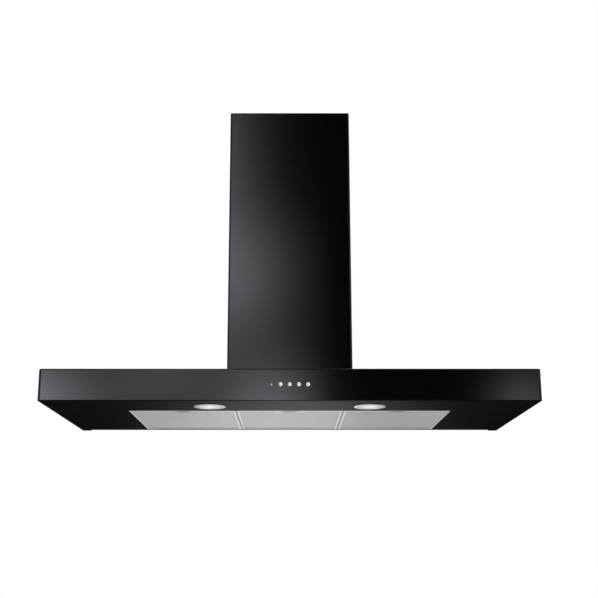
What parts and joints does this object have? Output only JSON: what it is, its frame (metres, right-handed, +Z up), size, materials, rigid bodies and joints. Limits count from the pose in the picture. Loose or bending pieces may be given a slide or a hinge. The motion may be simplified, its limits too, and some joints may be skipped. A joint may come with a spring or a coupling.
{
  "type": "wall-mounted range hood",
  "caption": "Wall-mounted range hood: flat black box canopy with push-buttons, lamps and metal grease filters under a telescopic rectangular flue that hides the blower.",
  "frame": {"origin": "middle of the rear face that lies on the wall, 36 mm above the canopy's lower edge", "axes": "+Z up, +X to the right of someone facing the hood, +Y into the wall"},
  "size_m": [1.098, 0.5024, 0.782],
  "materials": {
    "black_paint": "satin black powder coat",
    "galvanised_steel": "zinc coated",
    "filter_aluminium": "satin",
    "filter_mesh": "expanded mesh",
    "latch_steel": "satin",
    "bright_metal": "polished",
    "lamp_metal": "satin",
    "lamp_glass": "frosted",
    "reflector": "bright",
    "bulb": "matte",
    "indicator": "clear light guide",
    "black_plastic": "moulded",
    "grey_plastic": "moulded",
    "impeller_plastic": "moulded",
    "circuit_board": "laminate",
    "motor_steel": "lacquered",
    "capacitor_shell": "moulded",
    "shaft_steel": "ground",
    "rubber": "soft",
    "screw_steel": "zinc plated"
  },
  "bodies": {
    "hood": {"canopy_shell": "black_paint", "underside_pan": "black_paint", "lower_flue": "black_paint", "rear_panel": "black_paint", "rear_rail": "black_paint", "motor_box": "galvanised_steel", "motor_spider": "galvanised_steel", "hanger_plate_left": "galvanised_steel", "hanger_plate_right": "galvanised_steel", "lamp_bezel_left": "lamp_metal", "lamp_bezel_right": "lamp_metal", "lamp_glass_left": "lamp_glass", "lamp_glass_right": "lamp_glass", "lamp_reflector_left": "reflector", "lamp_reflector_right": "reflector", "lamp_bulb_left": "bulb", "lamp_bulb_right": "bulb", "indicator_lens": "indicator", "control_housing": "black_plastic", "scroll_front": "black_plastic", "scroll_rear": "black_plastic", "terminal_box": "grey_plastic", "terminal_box_lid": "grey_plastic", "duct_collar": "grey_plastic", "control_board": "circuit_board", "motor": "motor_steel", "lamp_transformer": "motor_steel", "capacitor": "capacitor_shell", "damper_spindle": "shaft_steel", "motor_box_gasket": "rubber", "cable_gland": "rubber", "pan_screws": "screw_steel", "flue_screws": "screw_steel", "motor_box_screws": "screw_steel", "scroll_screws": "screw_steel", "collar_screws": "screw_steel"},
    "filter_left": {"filter_frame_left": "filter_aluminium", "filter_mesh_left": "filter_mesh", "latch_pocket_left": "latch_steel"},
    "latch_left": {"filter_latch_left": "latch_steel"},
    "filter_centre": {"filter_frame_centre": "filter_aluminium", "filter_mesh_centre": "filter_mesh", "latch_pocket_centre": "latch_steel"},
    "latch_centre": {"filter_latch_centre": "latch_steel"},
    "filter_right": {"filter_frame_right": "filter_aluminium", "filter_mesh_right": "filter_mesh", "latch_pocket_right": "latch_steel"},
    "latch_right": {"filter_latch_right": "latch_steel"},
    "button_1": {"button_1": "bright_metal"},
    "button_2": {"button_2": "bright_metal"},
    "button_3": {"button_3": "bright_metal"},
    "button_4": {"button_4": "bright_metal"},
    "impeller": {"impeller": "impeller_plastic", "motor_shaft": "shaft_steel"},
    "damper_front": {"damper_flap_front": "grey_plastic"},
    "damper_rear": {"damper_flap_rear": "grey_plastic"},
    "upper_flue": {"upper_flue": "black_paint", "flue_bracket": "galvanised_steel", "bracket_screws": "screw_steel"}
  },
  "joints": [
    {"name": "button_1_press", "type": "slide", "parent": "hood", "child": "button_1", "axis": [0, 1, 0], "range_m": [0, 0.002], "stiffness_N_per_m": 600, "springref_m": -0.001},
    {"name": "button_2_press", "type": "slide", "parent": "hood", "child": "button_2", "axis": [0, 1, 0], "range_m": [0, 0.002], "stiffness_N_per_m": 600, "springref_m": -0.001},
    {"name": "button_3_press", "type": "slide", "parent": "hood", "child": "button_3", "axis": [0, 1, 0], "range_m": [0, 0.002], "stiffness_N_per_m": 600, "springref_m": -0.001},
    {"name": "button_4_press", "type": "slide", "parent": "hood", "child": "button_4", "axis": [0, 1, 0], "range_m": [0, 0.002], "stiffness_N_per_m": 600, "springref_m": -0.001},
    {"name": "filter_left_swing", "type": "hinge", "parent": "hood", "child": "filter_left", "pos_m": [-0.25, -0.012, -0.033], "axis": [1, 0, 0], "range_deg": [0, 60]},
    {"name": "latch_left_slide", "type": "slide", "parent": "filter_left", "child": "latch_left", "axis": [0, 1, 0], "range_m": [0, 0.006], "stiffness_N_per_m": 200, "springref_m": -0.004},
    {"name": "filter_centre_swing", "type": "hinge", "parent": "hood", "child": "filter_centre", "pos_m": [0, -0.012, -0.033], "axis": [1, 0, 0], "range_deg": [0, 60]},
    {"name": "latch_centre_slide", "type": "slide", "parent": "filter_centre", "child": "latch_centre", "axis": [0, 1, 0], "range_m": [0, 0.006], "stiffness_N_per_m": 200, "springref_m": -0.004},
    {"name": "filter_right_swing", "type": "hinge", "parent": "hood", "child": "filter_right", "pos_m": [0.25, -0.012, -0.033], "axis": [1, 0, 0], "range_deg": [0, 60]},
    {"name": "latch_right_slide", "type": "slide", "parent": "filter_right", "child": "latch_right", "axis": [0, 1, 0], "range_m": [0, 0.006], "stiffness_N_per_m": 200, "springref_m": -0.004},
    {"name": "impeller_spin", "type": "hinge", "parent": "hood", "child": "impeller", "pos_m": [-0.049, -0.137, 0.154], "axis": [0, 1, 0], "continuous": true},
    {"name": "damper_front_swing", "type": "hinge", "parent": "hood", "child": "damper_front", "pos_m": [0, -0.137, 0.364], "axis": [-1, 0, 0], "range_deg": [0, 75]},
    {"name": "damper_rear_swing", "type": "hinge", "parent": "hood", "child": "damper_rear", "pos_m": [0, -0.137, 0.364], "axis": [1, 0, 0], "range_deg": [0, 75]},
    {"name": "upper_flue_slide", "type": "slide", "parent": "hood", "child": "upper_flue", "axis": [0, 0, 1], "range_m": [0, 0.34]}
  ]
}
